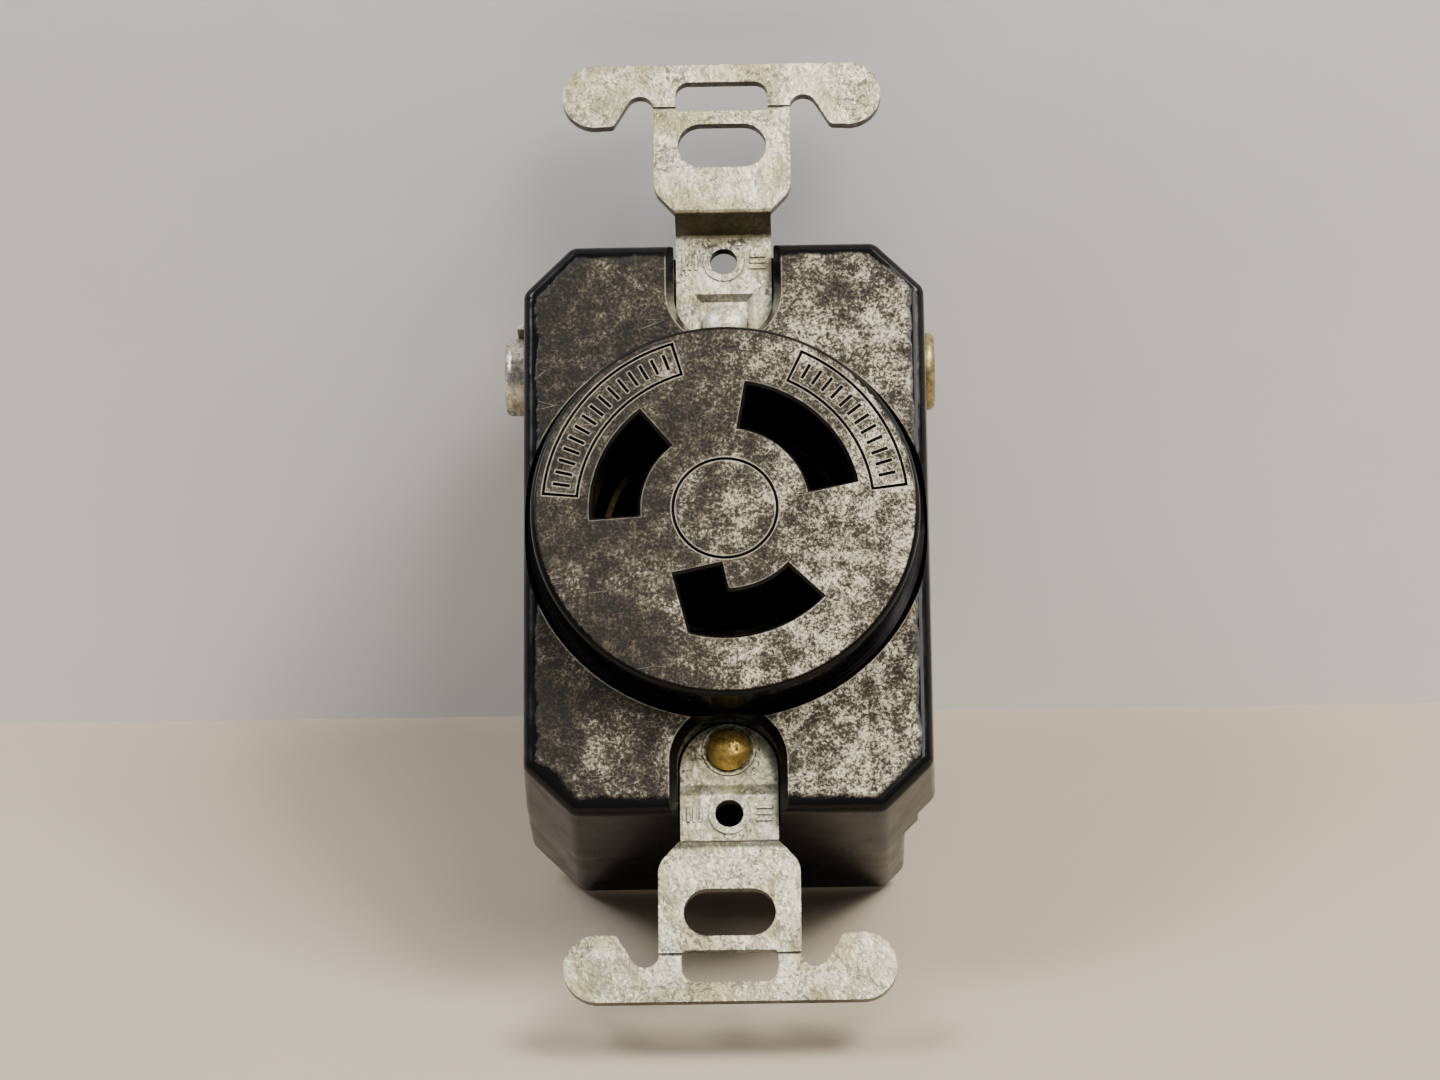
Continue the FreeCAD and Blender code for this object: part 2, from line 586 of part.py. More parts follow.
def foot_outline(sketch, terminal, spare="0"):
    """The foot of a terminal plate, with spare room round it for its channel in the housing."""
    side, up, outer, _ = terminal
    top, low = f"flange_half + {spare}", f"-flange_half - {spare}"
    if up > 0:
        corners = [(f"{side} * ({outer} + {spare})", f"screw_z + {top}"),
                   (f"{side} * (line_foot_shoulder - {spare})", f"screw_z + {top}"),
                   (f"{side} * (line_foot_left - {spare})", f"line_foot_top + {spare}"),
                   (f"{side} * (line_foot_heel - {spare})", f"line_foot_low - {spare}"),
                   (f"{side} * (line_foot_toe + {spare})", f"line_foot_low - {spare}"),
                   (f"{side} * ({outer} + {spare})", f"screw_z {low}")]
    else:
        corners = [(f"{outer} + {spare}", f"-screw_z {low}"),
                   (f"-ground_foot_left - {spare}", f"-screw_z + ground_foot_bevel {low}"),
                   (f"-ground_foot_left - {spare}", f"-ground_foot_notch + {spare}"),
                   (f"ground_foot_inner - {spare}", f"-ground_foot_notch + {spare}"),
                   (f"ground_foot_inner - {spare}", f"-ground_foot_top + {spare}"),
                   (f"ground_foot_outer + {spare}", f"-ground_foot_top + {spare}"),
                   (f"ground_foot_outer + {spare}", f"-screw_z + {top}"),
                   (f"{outer} + {spare}", f"-screw_z + {top}")]
    return outline(sketch, corners)


def small_rivets():
    """Where each contact is riveted to its terminal plate's foot."""
    return [("-contact_rivet_x", "contact_rivet_z"), ("contact_rivet_x", "contact_rivet_z"),
            ("ground_rivet_x", "-ground_rivet_z")]


def make_rear_body():
    """The rear half: chambers, terminal bays, wire grooves, rivet holes and the bond strip's groove."""
    body = new_body("rear_body")
    pad(body, housing_outline(face_sketch(body, "seam")), "housing_back - seam", backwards=True)
    cut_ground_recess(body)
    round_corner_edges(body)
    dress(body, "Fillet", edges_where(body, flat_at_depth(size("housing_back"))), "back_round")
    cut_chambers(body, False)
    cut_terminal_bays(body, False)
    for terminal in terminals():
        side, up, outer, _ = terminal
        cut(body, foot_outline(face_sketch(body, "seam"), terminal, "foot_room"), "foot_back - seam")
        if up > 0:
            bore = rectangle(face_sketch(body, "seam"), f"{side} * ({outer} - bore_length)",
                             f"{side} * ({outer} - flange_sheet)", "screw_z - screw_hole - bore_room",
                             "screw_z + screw_hole + bore_room")
            cut(body, bore, "screw_y + screw_hole + bore_room - seam")
        grooves = face_sketch(body, "screw_y")
        for way in (1, -1):
            circle(grooves, f"{side} * ({outer} + wire_groove)", f"{up} * screw_z + {way} * wire_spread",
                   "wire_groove")
        cut(body, grooves, "housing_back")
    relief = face_sketch(body, "foot_back")
    for x, z in small_rivets():
        circle(relief, x, z, "small_rivet_head + small_rivet_room")
    cut(body, relief, "small_rivet_cap + small_rivet_room")
    holes = face_sketch(body, "seam")
    for up in (1, -1):
        circle(holes, "0", f"{up} * rivet_z", "rivet_hole")
    cut(body, holes)
    cut(body, strip_outline(face_sketch(body, "strip_front"), "foot_room"), "housing_back")
    return body


def cut_ground_recess(body):
    """The lower right of the rear half steps in beside the ground screw, with a curve at the top."""
    step = outline(face_sketch(body, "seam"), [
        ("housing_width", "-housing_height"), ("housing_width", "-recess_top"),
        ("recess_x + recess_round", "-recess_top",
         "recess_x + recess_round", "-recess_top - recess_round", 1),
        ("recess_x", "-recess_top - recess_round"), ("recess_x", "-housing_height")])
    cut(body, step, "housing_back")


def strip_outline(sketch, spare):
    """The bond strip, with spare room round it for its groove."""
    return rectangle(sketch, f"-strip_half - ({spare})", f"strip_half + {spare}", f"-strip_end - ({spare})",
                     f"strip_end + {spare}")


# ---- mounting straps -------------------------------------------------------------------------------------

def strap_side_profile(sketch, up, creased):
    """The strap's sheet seen from the side: flat ear, step back, tapped part and rivet pad."""
    drop = "crease_drop" if creased else "0"
    front = [("-strap_sheet", "mount_slot_z"), ("-strap_sheet", "step_outer"),
             ("tapped_front", "step_inner"), ("tapped_front", "crease_outer"),
             (f"tapped_front + {drop}", "crease_inner"), (f"tapped_front + {drop}", "tongue_tip")]
    lags = ("0", "0", "0", "bend_lag", "bend_lag", "0")
    back = [(f"{y} + strap_sheet", f"{z} + {lag}") for (y, z), lag in zip(front[::-1], lags)]
    if not creased:
        front, back = front[:3] + front[5:], back[:1] + back[3:]
    return outline(sketch, [(y, f"{up} * ({z})") for y, z in front + back])


def ear_outline(sketch, up):
    """The flat ear plate: a straight outer edge between two round ears, a blunt hook and a round notch
    inside each ear, and the wide part round the slot."""
    rise = "sqrt(notch_radius^2 - (notch_x - wide_half)^2)"
    right = [("lobe_x", "ear_top", "lobe_x", "lobe_z", -up),
             ("lobe_x + lobe_radius * cos(lobe_end)", "lobe_z + lobe_radius * sin(lobe_end)"),
             ("ear_corner_x", "ear_corner_z"),
             ("notch_x + notch_radius * cos(notch_start)", "notch_z + notch_radius * sin(notch_start)",
              "notch_x", "notch_z", up),
             ("wide_half", f"notch_z + {rise}"), ("wide_half", "wide_end"), ("narrow_half", "step_outer")]
    corners = [(x, f"{up} * ({z})", *(centre and (centre[0], f"{up} * ({centre[1]})", centre[2])))
               for x, z, *centre in right]
    arcs = {0: corners[0][2:], 3: corners[3][2:]}
    left = []
    for index in reversed(range(len(right))):
        before = arcs.get(index - 1, ())
        mirrored = before and (f"-({before[0]})", before[1], before[2])
        left.append((f"-({corners[index][0]})", corners[index][1], *mirrored))
    return outline(sketch, corners + left)


def make_strap(label, up, creased):
    """A stamped strap: an ear plate, a step back and a tapped tongue with a riveted end."""
    body = new_body(label)
    pad(body, ear_outline(face_sketch(body, "0"), up), "strap_sheet")
    pad(body, strap_side_profile(side_sketch(body, "0"), up, creased), "narrow_half * 2", midplane=True)
    dress(body, "Fillet", edges_where(body, corners_at(size("ear_corner_x"), size("ear_corner_z"))),
          "ear_corner_round")
    dress(body, "Fillet", edges_where(body, corners_at(size("wide_half"), size("wide_end"))), "wide_round")
    dress(body, "Fillet", edges_where(body, corners_at(size("narrow_half"), size("tongue_tip"))),
          "narrow_half - part_gap")
    dress(body, "Fillet", edges_where(body, bends_between("step_inner", "step_outer")), "bend_round")
    if creased:
        crease = edges_where(body, bends_between("crease_inner", "crease_outer"))
        dress(body, "Fillet", crease, "crease_round")
    cut_ear_slots(body, up)
    stamp_tongue(body, up, creased)
    if not creased:
        sink_rivet_seat(body, up)
    holes = face_sketch(body, "0")
    circle(holes, "0", f"{up} * plate_screw_z", "plate_hole")
    circle(holes, "0", f"{up} * rivet_z", "rivet_hole")
    cut(body, holes)
    return body


def cut_ear_slots(body, up):
    """The mounting slot, the break-off slot outside it and the score line that the ears snap off along."""
    slot = face_sketch(body, "0")
    half, radius, z = "mount_slot_half", "mount_slot_radius", f"{up} * mount_slot_z"
    outline(slot, [(f"{half} - {radius}", f"{z} - {radius}", f"{half} - {radius}", z, 1),
                   (f"{half} - {radius}", f"{z} + {radius}"),
                   (f"{radius} - {half}", f"{z} + {radius}", f"{radius} - {half}", z, 1),
                   (f"{radius} - {half}", f"{z} - {radius}")])
    rectangle(slot, "-break_half", "break_half", f"{up} * break_inner", f"{up} * break_outer")
    cut(body, slot)
    for end, rounding in (("break_outer", "break_round"), ("break_inner", "break_foot_round")):
        dress(body, "Fillet", edges_where(body, corners_at(size("break_half"), size(end))), rounding)
    score = rectangle(face_sketch(body, "-strap_sheet"), "-wide_half - overrun", "wide_half + overrun",
                      f"{up} * score_z - score_width / 2", f"{up} * score_z + score_width / 2")
    cut(body, score, "score_depth")


def stamp_tongue(body, up, creased):
    """A collar round the tapped hole, a plain mark of bars each side of it and a ring for the rivet."""
    z = f"{up} * plate_screw_z"
    pad(body, circle(face_sketch(body, "tapped_front"), "0", z, "collar_radius"), "collar_height")
    marks = face_sketch(body, "tapped_front")
    for step in (-1, 0, 1):
        middle = f"-mark_x + {step} * mark_pitch"
        rectangle(marks, f"{middle} - mark_width / 2", f"{middle} + mark_width / 2",
                  f"{z} - mark_length / 2", f"{z} + mark_length / 2")
        level = f"{z} + {step} * mark_pitch"
        rectangle(marks, "mark_x - mark_length / 2", "mark_x + mark_length / 2",
                  f"{level} - mark_width / 2", f"{level} + mark_width / 2")
    pad(body, marks, "mark_height")
    if creased:
        ring = face_sketch(body, "tapped_front + crease_drop")
        circle(ring, "0", f"{up} * rivet_z", "rivet_ring")
        circle(ring, "0", f"{up} * rivet_z", "rivet_ring - rivet_ring_width")
        pad(body, ring, "collar_height")


def bends_between(inner, outer):
    """A test for edges across the strap where its sheet bends, between two distances from the centre."""
    def test(box):
        across = 9 < box.XLength < 11 and box.YLength < 0.01 and box.ZLength < 0.01
        return across and size(inner) - 0.5 < abs(box.ZMin) < size(outer) + 0.6
    return test


def sink_rivet_seat(body, up):
    """Press the rivet's seat back out of the tongue: a boss behind and a sloped recess in front."""
    back = "tapped_front + strap_sheet"
    boss = rectangle(face_sketch(body, back), "-recess_half", "recess_half",
                     f"{up} * (tongue_tip + boss_inset)", f"{up} * recess_outer")
    pad(body, boss, "crease_drop", backwards=True)
    seat = rectangle(face_sketch(body, "tapped_front"), "-recess_half", "recess_half",
                     f"{up} * (tongue_tip - overrun)", f"{up} * recess_outer")
    cut(body, seat, "crease_drop", taper="-recess_slope")


# ---- rivets ----------------------------------------------------------------------------------------------

def make_rivet(label, up):
    """A solid rivet with a domed head in front and a rolled end behind, turned about its own line."""
    body = new_body(label)
    seat, strip_back = "tapped_front + crease_drop", "strip_front + strip_sheet"
    cap = "(rivet_dome - rivet_rim)"
    dome_centre = f"{seat} - rivet_dome + (rivet_head^2 + {cap}^2) / (2 * {cap})"
    sketch = side_sketch(body, "0")
    outline(sketch, [
        (f"{seat} - rivet_dome", "0"), ("rivet_end", "0"), ("rivet_end", "rivet_roll - rivet_roll_bevel"),
        ("rivet_end - rivet_roll_bevel", "rivet_roll"), (strip_back, "rivet_roll"),
        (strip_back, "rivet_shank"), (seat, "rivet_shank"), (seat, "rivet_head"),
        (f"{seat} - rivet_rim", "rivet_head", dome_centre, "0", 1)])
    turned = body.newObject("PartDesign::Revolution", label + "_turned")
    turned.Profile = sketch
    turned.ReferenceAxis = (sketch, ["H_Axis"])
    turned.Angle = 360
    doc.recompute()
    body.Placement.Base = VECTOR(0, 0, up * size("rivet_z"))
    body.setExpression("Placement.Base.z", bound(f"{up} * rivet_z"))
    doc.recompute()
    return body


def make_contact_rivet(label, place):
    """A small rivet with a flat head at each end."""
    body = new_body(label)
    x, z = place
    front_head = circle(face_sketch(body, "base_front"), x, z, "small_rivet_head")
    pad(body, front_head, "small_rivet_cap")
    shank = circle(face_sketch(body, "base_front"), x, z, "small_rivet")
    pad(body, shank, "foot_back - base_front", backwards=True)
    back_head = circle(face_sketch(body, "foot_back"), x, z, "small_rivet_head")
    pad(body, back_head, "small_rivet_cap", backwards=True)
    return body


# ---- contacts and terminals ------------------------------------------------------------------------------

def make_contact(label, ends, place):
    """A curved spring clip: two leaves standing on a base, open to the front for the blade."""
    body = new_body(label)
    start, end = (f"({text})" for text in ends)
    pad(body, sector(face_sketch(body, "chamber_floor"), "leaf_inner", "leaf_outer", start, end),
        "chamber_floor - leaf_front")
    gap = sector(face_sketch(body, "leaf_front"), "(leaf_inner + leaf_sheet)", "(leaf_outer - leaf_sheet)",
                 f"({start} - leaf_overrun)", f"({end} + leaf_overrun)")
    cut(body, gap, "base_front - leaf_front")
    cut(body, circle(face_sketch(body, "0"), *place, "small_hole"))
    return body


def make_terminal_plate(label, terminal, place):
    """A threaded flange beside the housing wall and a foot that reaches under the contact."""
    body = new_body(label)
    side, up, outer, _ = terminal
    pad(body, foot_outline(face_sketch(body, "foot_back"), terminal), "foot_back - chamber_floor")
    flange = rectangle(face_sketch(body, "foot_back"), f"{side} * ({outer} - flange_sheet)",
                       f"{side} * {outer}", f"{up} * screw_z - flange_half", f"{up} * screw_z + flange_half")
    pad(body, flange, "foot_back - flange_front")
    cut(body, circle(side_sketch(body, "0"), "screw_y", f"{up} * screw_z", "screw_hole"))
    holes = circle(face_sketch(body, "0"), *place, "small_hole")
    if up < 0:
        circle(holes, "0", "-rivet_z", "rivet_hole")
    cut(body, holes)
    return body


def make_clamp_plate(label, terminal):
    """A square plate with a lip turned up along its outer end, free on the screw."""
    body = new_body(label)
    side, up, outer, gap = terminal
    centre, start = f"{up} * screw_z", f"{side} * ({outer} + {gap})"
    plate = rectangle(side_sketch(body, start), "screw_y - clamp_half_y", "screw_y + clamp_half_y",
                      f"{centre} - clamp_half_z", f"{centre} + clamp_half_z")
    pad(body, plate, "clamp_sheet", backwards=side < 0)
    lip = rectangle(side_sketch(body, start), "screw_y - lip_half", "screw_y + lip_half",
                    f"{centre} + {up} * (clamp_half_z - lip_sheet)", f"{centre} + {up} * clamp_half_z")
    pad(body, lip, "clamp_sheet + clamp_lip", backwards=side < 0)
    cut(body, circle(side_sketch(body, "0"), "screw_y", centre, "clamp_hole"))
    return body


def make_screw(label, terminal, hexagonal=False):
    """A terminal screw along X: head outside the clamp plate and a plain shank through the flange."""
    body = new_body(label)
    side, up, outer, gap = terminal
    centre, inward = f"{up} * screw_z", side > 0
    level = f"{outer} + {gap} + clamp_sheet + head_play"
    seat, top = f"{side} * ({level})", f"{side} * ({level} + head_height)"
    shank = circle(side_sketch(body, seat), "screw_y", centre, "screw_shank")
    pad(body, shank, "shank_length", backwards=inward)
    head = circle(side_sketch(body, seat), "screw_y", centre, "head_radius")
    pad(body, head, "hex_flange" if hexagonal else "head_height", backwards=not inward)
    if hexagonal:
        corner = "hex_across / 2 / cos(30)"
        points = [(f"screw_y + {corner} * cos({angle})", f"{centre} + {corner} * sin({angle})")
                  for angle in range(0, 360, 60)]
        pad(body, outline(side_sketch(body, seat), points), "head_height", backwards=not inward)
    else:
        rim = abs(number(body, top))
        edges = edges_where(body, lambda box: box.XLength < 0.01 and abs(abs(box.XMin) - rim) < 0.01)
        dress(body, "Fillet", edges, "head_round")
    slot = rectangle(side_sketch(body, top), "screw_y - drive_width / 2", "screw_y + drive_width / 2",
                     f"{centre} - head_radius", f"{centre} + head_radius")
    cut(body, slot, "drive_depth", backwards=not inward)
    return body


def make_bond_strip():
    """The strip across the back that joins the two housing rivets."""
    body = new_body("ground_bond_strip")
    pad(body, strip_outline(face_sketch(body, "strip_front + strip_sheet"), "0"), "strip_sheet")
    edges = edges_where(body, corners_at(size("strip_half"), size("strip_end")))
    dress(body, "Fillet", edges, "strip_half - part_gap")
    holes = face_sketch(body, "0")
    for up in (1, -1):
        circle(holes, "0", f"{up} * rivet_z", "rivet_hole")
    cut(body, holes)
    return body


# ---- the whole receptacle --------------------------------------------------------------------------------

def make_all():
    """Every sub-part, in the order in which the receptacle goes together."""
    bodies = [make_front_cover(), make_rear_body(), make_strap("upper_mounting_strap", 1, False),
              make_strap("lower_mounting_strap", -1, True), make_rivet("upper_rivet", 1),
              make_rivet("lower_rivet", -1), make_bond_strip()]
    for name, terminal, ends, place in zip(("neutral", "hot", "ground"), terminals(), contact_ends(),
                                           small_rivets()):
        bodies.append(make_contact(name + "_contact", ends, place))
        bodies.append(make_terminal_plate(name + "_terminal_plate", terminal, place))
        bodies.append(make_contact_rivet(name + "_contact_rivet", place))
        bodies.append(make_clamp_plate(name + "_clamp_plate", terminal))
        bodies.append(make_screw(name + "_terminal_screw", terminal, hexagonal=name == "ground"))
    return bodies


def check_and_write(bodies):
    """Stop on anything that failed, then write each sub-part's solid."""
    doc.recompute()
    for item in doc.Objects:
        if "Invalid" in item.State or "Error" in item.State:
            raise RuntimeError(f"{item.Label} failed: {item.State}")
    for body in bodies:
        shape = body.Shape
        if shape.isNull() or not shape.isValid() or len(shape.Solids) != 1:
            raise RuntimeError(f"{body.Label} isn't one valid solid")
    os.makedirs(OUT, exist_ok=True)
    for body in bodies:
        body.Shape.exportStep(os.path.join(OUT, body.Label + ".step"))
        print(f"{body.Label}: {body.Shape.Volume:.1f} mm3")


make_sheet()
check_and_write(make_all())
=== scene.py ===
"""Looks of a locking receptacle: materials, dressed pieces, stage, lamps and camera."""

import json
import logging
import math
from dataclasses import dataclass
from enum import Enum
from typing import Dict, Sequence, Tuple

import bpy
from mathutils import Matrix, Vector


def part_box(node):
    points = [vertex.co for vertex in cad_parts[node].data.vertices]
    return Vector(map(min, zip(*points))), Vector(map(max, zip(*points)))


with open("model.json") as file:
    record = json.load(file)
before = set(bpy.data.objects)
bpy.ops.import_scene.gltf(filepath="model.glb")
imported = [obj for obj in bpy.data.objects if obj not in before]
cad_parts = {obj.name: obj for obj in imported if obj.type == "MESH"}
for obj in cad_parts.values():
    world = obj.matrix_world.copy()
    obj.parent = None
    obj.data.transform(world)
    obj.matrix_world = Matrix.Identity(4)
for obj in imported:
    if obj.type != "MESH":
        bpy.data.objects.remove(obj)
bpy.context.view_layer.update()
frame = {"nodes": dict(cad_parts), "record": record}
log = logging.getLogger("receptacle")

MM = 0.001
Colour = Tuple[float, float, float]
Socket = bpy.types.NodeSocket


# ---- node trees ----------------------------------------------------------------------------------------


class Graph:
    """A node tree being written, with short ways to add nodes and join them."""

    def __init__(self, tree: bpy.types.NodeTree) -> None:
        """Keep the tree that nodes go into.

        Args:
            tree: The material's or group's node tree.
        """
        self.tree = tree

    def add(self, kind: str, **settings: object) -> bpy.types.Node:
        """Add a node.

        Args:
            kind: The node's type name.
            settings: Properties to set on it.

        Returns:
            The new node.
        """
        node = self.tree.nodes.new(kind)
        for name, value in settings.items():
            setattr(node, name, value)
        return node

    def feed(self, target: Socket, source: object) -> None:
        """Join an output to an input, or set the input to a plain value.

        Args:
            target: The input socket.
            source: An output socket, or a number, colour or vector.
        """
        if isinstance(source, bpy.types.NodeSocket):
            self.tree.links.new(source, target)
        elif hasattr(source, "__len__") and len(target.default_value) == 4 and len(source) == 3:
            target.default_value = (*source, 1.0)
        else:
            target.default_value = source

    def math(self, operation: str, *values: object, clamp: bool = False) -> Socket:
        """A Math node.

        Args:
            operation: What it does, such as MULTIPLY.
            values: Its inputs, in order.
            clamp: Whether the result is kept between 0 and 1.

        Returns:
            Its output.
        """
        node = self.add("ShaderNodeMath", operation=operation, use_clamp=clamp)
        for socket, value in zip(node.inputs, values):
            self.feed(socket, value)
        return node.outputs[0]

    def ramp(self, value: object, low: float, high: float, start: float = 0.0, end: float = 1.0) -> Socket:
        """Map a value smoothly from one range to another.

        Args:
            value: The value to map.
            low: Where the result starts.
            high: Where the result ends.
            start: The result at low.
            end: The result at high.

        Returns:
            The mapped value.
        """
        node = self.add("ShaderNodeMapRange", interpolation_type="SMOOTHSTEP")
        names = ("Value", "From Min", "From Max", "To Min", "To Max")
        for name, given in zip(names, (value, low, high, start, end)):
            self.feed(node.inputs[name], given)
        return node.outputs[0]

    def mix(self, factor: object, first: object, second: object) -> Socket:
        """Mix two colours.

        Args:
            factor: How much of the second colour shows.
            first: The colour at 0.
            second: The colour at 1.

        Returns:
            The mixed colour.
        """
        node = self.add("ShaderNodeMix", data_type="RGBA")
        self.feed(node.inputs[0], factor)
        self.feed(node.inputs[6], first)
        self.feed(node.inputs[7], second)
        return node.outputs[2]

    def blend(self, factor: object, first: object, second: object) -> Socket:
        """Mix two plain values.

        Args:
            factor: How much of the second value shows.
            first: The value at 0.
            second: The value at 1.

        Returns:
            The mixed value.
        """
        node = self.add("ShaderNodeMix", data_type="FLOAT")
        self.feed(node.inputs[0], factor)
        self.feed(node.inputs[2], first)
        self.feed(node.inputs[3], second)
        return node.outputs[0]

    def noise(self, vector: object, scale: object, detail: float = 4.0, rough: float = 0.55,
              distortion: float = 0.0) -> Socket:
        """Noise over a place.

        Args:
            vector: Where to read it.
            scale: How fine it is, in features a metre.
            detail: How many finer layers it has.
            rough: How strong the finer layers are.
            distortion: How much it is swirled.

        Returns:
            A value about 0.5.
        """
        node = self.add("ShaderNodeTexNoise")
        for name, given in (("Vector", vector), ("Scale", scale), ("Detail", detail), ("Roughness", rough),
                            ("Distortion", distortion)):
            self.feed(node.inputs[name], given)
        return node.outputs["Fac"]

    def place(self) -> Socket:
        """The place on the object, in metres in the model's own frame."""
        return self.add("ShaderNodeTexCoord").outputs["Object"]

    def stretched(self, vector: Socket, scale: Sequence[float], turn: Sequence[float] = (0, 0, 0)) -> Socket:
        """A place scaled and turned, for marks that run one way.

        Args:
            vector: The place.
            scale: The scale along each axis.
            turn: The turn about each axis, in radians.

        Returns:
            The new place.
        """
        node = self.add("ShaderNodeMapping")
        self.feed(node.inputs["Vector"], vector)
        node.inputs["Scale"].default_value = scale
        node.inputs["Rotation"].default_value = turn
        return node.outputs[0]


class NodeGroup:
    """A shader node group with named inputs and outputs, made once and placed in many materials."""

    name: str = ""
    inputs: Tuple[Tuple[str, str, float], ...] = ()
    outputs: Tuple[Tuple[str, str], ...] = ()

    def write(self, graph: Graph, given: Dict[str, Socket], out: bpy.types.Node) -> None:
        """Write the group's own nodes.

        Args:
            graph: The group's tree.
            given: The group's inputs by name.
            out: The group's output node.
        """
        raise NotImplementedError

    def tree(self) -> bpy.types.NodeTree:
        """Make the group, or find it if it is made already.

        Returns:
            The group's node tree.
        """
        made = bpy.data.node_groups.get(self.name)
        if made:
            return made
        tree = bpy.data.node_groups.new(self.name, "ShaderNodeTree")
        for name, kind, default in self.inputs:
            socket = tree.interface.new_socket(name, in_out="INPUT", socket_type=kind)
            if kind == "NodeSocketFloat":
                socket.default_value = default
        for name, kind in self.outputs:
            tree.interface.new_socket(name, in_out="OUTPUT", socket_type=kind)
        graph = Graph(tree)
        source = graph.add("NodeGroupInput")
        out = graph.add("NodeGroupOutput")
        self.write(graph, {socket.name: socket for socket in source.outputs}, out)
        return tree

    def put(self, graph: Graph, **values: object) -> bpy.types.Node:
        """Place the group in a tree.

        Args:
            graph: The tree it goes into.
            values: Its inputs, with spaces in their names as underscores.

        Returns:
            The group's node.
        """
        node = graph.add("ShaderNodeGroup")
        node.node_tree = self.tree()
        for name, value in values.items():
            graph.feed(node.inputs[name.replace("_", " ")], value)
        return node


class Speckle(NodeGroup):
    """Fine irregular flecks, gathered into patches."""

    name = "speckle"
    inputs = (("Vector", "NodeSocketVector", 0.0), ("Fineness", "NodeSocketFloat", 2500.0),
              ("Amount", "NodeSocketFloat", 0.5), ("Patchiness", "NodeSocketFloat", 0.5))
    outputs = (("Mask", "NodeSocketFloat"),)

    def write(self, graph: Graph, given: Dict[str, Socket], out: bpy.types.Node) -> None:
        """Write the flecks from fine noise, cut off where coarse noise is low.

        Args:
            graph: The group's tree.
            given: The group's inputs by name.
            out: The group's output node.
        """
        fine = graph.noise(given["Vector"], given["Fineness"], 5.0, 0.75)
        coarse = graph.noise(given["Vector"], graph.math("MULTIPLY", given["Fineness"], 0.11), 3.0, 0.6)
        patches = graph.ramp(coarse, 0.38, 0.62)
        lift = graph.math("MULTIPLY", graph.math("SUBTRACT", patches, 0.5), given["Patchiness"])
        level = graph.math("ADD", graph.math("MULTIPLY", lift, 0.22), fine)
        edge = graph.math("SUBTRACT", 0.76, graph.math("MULTIPLY", given["Amount"], 0.36))
        graph.feed(out.inputs["Mask"], graph.ramp(level, edge, graph.math("ADD", edge, 0.09)))


class EdgeWearAndPaintedLight(NodeGroup):
    """Outer edges where a rounded normal leans away from the true one, broken up by noise; the moulding
    lightens them for wear and painted highlights, the plating darkens them for grime and painted shade.
    """

    name = "edge_wear_and_painted_light"
    inputs = (("Vector", "NodeSocketVector", 0.0), ("Width", "NodeSocketFloat", 0.0003),
              ("Break Up", "NodeSocketFloat", 0.5))
    outputs = (("Mask", "NodeSocketFloat"),)

    def write(self, graph: Graph, given: Dict[str, Socket], out: bpy.types.Node) -> None:
        """Write the mask from a bevelled normal.

        Args:
            graph: The group's tree.
            given: The group's inputs by name.
            out: The group's output node.
        """
        bevel = graph.add("ShaderNodeBevel", samples=4)
        graph.feed(bevel.inputs["Radius"], given["Width"])
        plain = graph.add("ShaderNodeNewGeometry")
        dot = graph.add("ShaderNodeVectorMath", operation="DOT_PRODUCT")
        graph.feed(dot.inputs[0], bevel.outputs[0])
        graph.feed(dot.inputs[1], plain.outputs["Normal"])
        lean = graph.math("SUBTRACT", 1.0, dot.outputs["Value"])
        noise = graph.ramp(graph.noise(given["Vector"], 900.0, 4.0, 0.7), 0.35, 0.65)
        kept = graph.math("SUBTRACT", 1.0, graph.math("MULTIPLY", noise, given["Break Up"]))
        graph.feed(out.inputs["Mask"], graph.ramp(graph.math("MULTIPLY", lean, kept), 0.015, 0.14))


class CreviceDirtAndShade(NodeGroup):
    """Grime and painted shade, darkening the places where surfaces close in on each other."""

    name = "crevice_dirt_and_shade"
    inputs = (("Vector", "NodeSocketVector", 0.0), ("Reach", "NodeSocketFloat", 0.0015),
              ("Amount", "NodeSocketFloat", 0.8))
    outputs = (("Mask", "NodeSocketFloat"),)

    def write(self, graph: Graph, given: Dict[str, Socket], out: bpy.types.Node) -> None:
        """Write the mask from how much of the surface is closed in, broken up by noise.

        Args:
            graph: The group's tree.
            given: The group's inputs by name.
            out: The group's output node.
        """
        open_air = graph.add("ShaderNodeAmbientOcclusion", samples=6)
        graph.feed(open_air.inputs["Distance"], given["Reach"])
        closed = graph.ramp(open_air.outputs["AO"], 0.3, 0.88, 1.0, 0.0)
        noise = graph.noise(given["Vector"], 800.0, 5.0, 0.7)
        uneven = graph.math("MULTIPLY", closed, graph.ramp(noise, 0.3, 0.6, 0.45, 1.0))
        graph.feed(out.inputs["Mask"], graph.math("MULTIPLY", uneven, given["Amount"], clamp=True))


